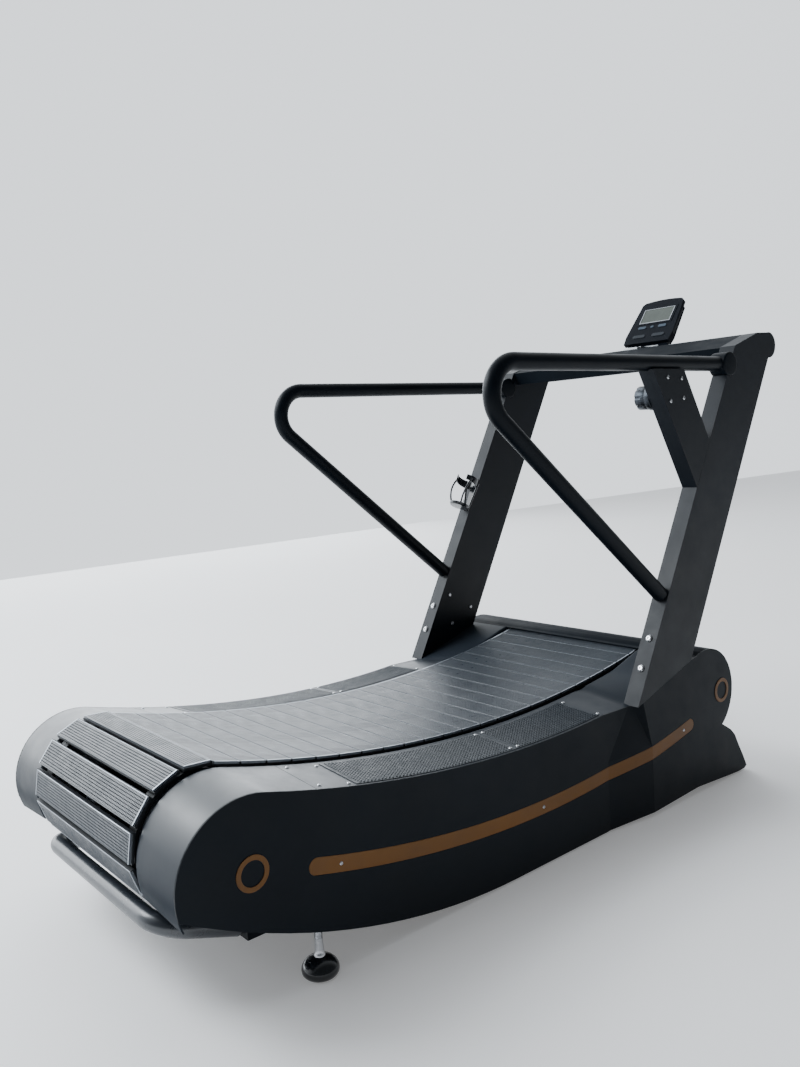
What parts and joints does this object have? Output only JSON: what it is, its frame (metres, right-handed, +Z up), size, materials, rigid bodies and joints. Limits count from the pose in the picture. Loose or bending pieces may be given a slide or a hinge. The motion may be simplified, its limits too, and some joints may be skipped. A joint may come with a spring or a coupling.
{
  "type": "curved manual treadmill",
  "caption": "Motorless curved treadmill with a concave slat belt, rounded side covers, leaning uprights, bent tube handrails, a small tilting console and a rear carrying bar.",
  "frame": {"origin": "middle of the bounding box's base on the floor", "axes": "+X the runner's right, +Y forward towards the console, +Z up"},
  "size_m": [0.869, 2.0862, 1.4048],
  "materials": {
    "frame_paint": "satin",
    "cover_plastic": "satin",
    "satin_sheet": "satin",
    "tread_rubber": "matte, square grid",
    "belt_rubber": "matte",
    "slat_aluminium": "satin",
    "bright_steel": "brushed",
    "iron": "machined",
    "gold_trim": "satin gold",
    "console_plastic": "fine texture",
    "bezel_chrome": "bright",
    "display": "smooth",
    "key_plastic": "satin"
  },
  "bodies": {
    "frame": {"rail_left": "frame_paint", "rail_right": "frame_paint", "cross_members": "frame_paint", "bearing_housings": "frame_paint", "drive_belts": "belt_rubber", "slat_bars": "slat_aluminium", "slat_treads": "tread_rubber", "side_cover_left": "cover_plastic", "side_cover_right": "cover_plastic", "rear_wrap_left": "satin_sheet", "rear_wrap_right": "satin_sheet", "step_plate_left": "satin_sheet", "step_plate_right": "satin_sheet", "step_pads_left": "tread_rubber", "step_pads_right": "tread_rubber", "front_shroud": "cover_plastic", "accent_stripe_left": "gold_trim", "accent_stripe_right": "gold_trim", "trim_rings": "gold_trim", "upright_left": "frame_paint", "upright_right": "frame_paint", "brace_arm": "frame_paint", "crossbeam": "frame_paint", "handrail_left": "frame_paint", "handrail_right": "frame_paint", "console_bracket": "bright_steel", "bottle_cage": "console_plastic", "resistance_housing": "console_plastic", "transport_bar": "satin_sheet", "wheel_brackets": "bright_steel", "foot_nuts": "bright_steel", "front_feet": "belt_rubber", "frame_bolts": "bright_steel", "cover_screws": "bright_steel"},
    "front_roller": {"front_shaft": "bright_steel", "front_pulleys": "slat_aluminium", "flywheel": "iron"},
    "rear_roller": {"rear_shaft": "bright_steel", "rear_pulleys": "slat_aluminium"},
    "brake": {"brake_arm": "bright_steel"},
    "resistance_dial": {"resistance_knob": "console_plastic"},
    "console": {"console_housing": "console_plastic", "console_bezel": "bezel_chrome", "console_lens": "display"},
    "wheel_left": {"transport_wheel_left": "belt_rubber"},
    "wheel_right": {"transport_wheel_right": "belt_rubber"},
    "foot_left": {"levelling_foot_left": "belt_rubber"},
    "foot_right": {"levelling_foot_right": "belt_rubber"},
    "roller_1": {"guide_roller_1": "bright_steel"},
    "roller_2": {"guide_roller_2": "bright_steel"},
    "roller_3": {"guide_roller_3": "bright_steel"},
    "roller_4": {"guide_roller_4": "bright_steel"},
    "roller_5": {"guide_roller_5": "bright_steel"},
    "key_mode": {"key_mode": "key_plastic"},
    "key_set": {"key_set": "key_plastic"},
    "key_reset": {"key_reset": "key_plastic"},
    "key_low_left": {"key_low_left": "key_plastic"},
    "key_low_right": {"key_low_right": "key_plastic"}
  },
  "joints": [
    {"name": "front_roller_spin", "type": "hinge", "parent": "frame", "child": "front_roller", "pos_m": [0, 0.518, 0.268], "axis": [1, 0, 0], "continuous": true},
    {"name": "rear_roller_spin", "type": "hinge", "parent": "frame", "child": "rear_roller", "pos_m": [0, -0.899, 0.281], "axis": [1, 0, 0], "continuous": true},
    {"name": "roller_1_spin", "type": "hinge", "parent": "frame", "child": "roller_1", "pos_m": [0, -0.722, 0.33596], "axis": [1, 0, 0], "continuous": true},
    {"name": "roller_2_spin", "type": "hinge", "parent": "frame", "child": "roller_2", "pos_m": [0, -0.452, 0.28922], "axis": [1, 0, 0], "continuous": true},
    {"name": "roller_3_spin", "type": "hinge", "parent": "frame", "child": "roller_3", "pos_m": [0, -0.182, 0.26878], "axis": [1, 0, 0], "continuous": true},
    {"name": "roller_4_spin", "type": "hinge", "parent": "frame", "child": "roller_4", "pos_m": [0, 0.088, 0.27406], "axis": [1, 0, 0], "continuous": true},
    {"name": "roller_5_spin", "type": "hinge", "parent": "frame", "child": "roller_5", "pos_m": [0, 0.358, 0.30521], "axis": [1, 0, 0], "continuous": true},
    {"name": "wheel_left_spin", "type": "hinge", "parent": "frame", "child": "wheel_left", "pos_m": [-0.287, 0.66, 0.042], "axis": [1, 0, 0], "continuous": true},
    {"name": "wheel_right_spin", "type": "hinge", "parent": "frame", "child": "wheel_right", "pos_m": [0.287, 0.66, 0.042], "axis": [1, 0, 0], "continuous": true},
    {"name": "resistance_turn", "type": "hinge", "parent": "frame", "child": "resistance_dial", "pos_m": [0.358, 0.392, 1.068], "axis": [-1, 0, 0], "range_deg": [0, 270]},
    {"name": "brake_swing", "type": "hinge", "parent": "frame", "child": "brake", "pos_m": [0.335, 0.383, 0.195], "axis": [-1, 0, 0], "range_deg": [0, 12]},
    {"name": "console_tilt", "type": "hinge", "parent": "frame", "child": "console", "pos_m": [0, 0.94367, 1.24122], "axis": [1, 0, 0], "range_deg": [-20, 8]},
    {"name": "key_mode_press", "type": "slide", "parent": "console", "child": "key_mode", "axis": [0, -0.7782, 0.628], "range_m": [-0.0012, 0], "stiffness_N_per_m": 500, "springref_m": 0.0003},
    {"name": "key_set_press", "type": "slide", "parent": "console", "child": "key_set", "axis": [0, -0.7782, 0.628], "range_m": [-0.0012, 0], "stiffness_N_per_m": 500, "springref_m": 0.0003},
    {"name": "key_reset_press", "type": "slide", "parent": "console", "child": "key_reset", "axis": [0, -0.7782, 0.628], "range_m": [-0.0012, 0], "stiffness_N_per_m": 500, "springref_m": 0.0003},
    {"name": "key_low_left_press", "type": "slide", "parent": "console", "child": "key_low_left", "axis": [0, -0.7782, 0.628], "range_m": [-0.0012, 0], "stiffness_N_per_m": 500, "springref_m": 0.0003},
    {"name": "key_low_right_press", "type": "slide", "parent": "console", "child": "key_low_right", "axis": [0, -0.7782, 0.628], "range_m": [-0.0012, 0], "stiffness_N_per_m": 500, "springref_m": 0.0003},
    {"name": "foot_left_level", "type": "slide", "parent": "frame", "child": "foot_left", "axis": [0, 0, 1], "range_m": [-0.02, 0]},
    {"name": "foot_right_level", "type": "slide", "parent": "frame", "child": "foot_right", "axis": [0, 0, 1], "range_m": [-0.02, 0]}
  ],
  "couplings": [
    {"joint": "rear_roller_spin", "follows": "front_roller_spin", "ratio": 0.7561},
    {"joint": "roller_1_spin", "follows": "front_roller_spin", "ratio": 4.65},
    {"joint": "roller_2_spin", "follows": "front_roller_spin", "ratio": 4.65},
    {"joint": "roller_3_spin", "follows": "front_roller_spin", "ratio": 4.65},
    {"joint": "roller_4_spin", "follows": "front_roller_spin", "ratio": 4.65},
    {"joint": "roller_5_spin", "follows": "front_roller_spin", "ratio": 4.65},
    {"joint": "brake_swing", "follows": "resistance_turn", "ratio": 0.044444}
  ]
}
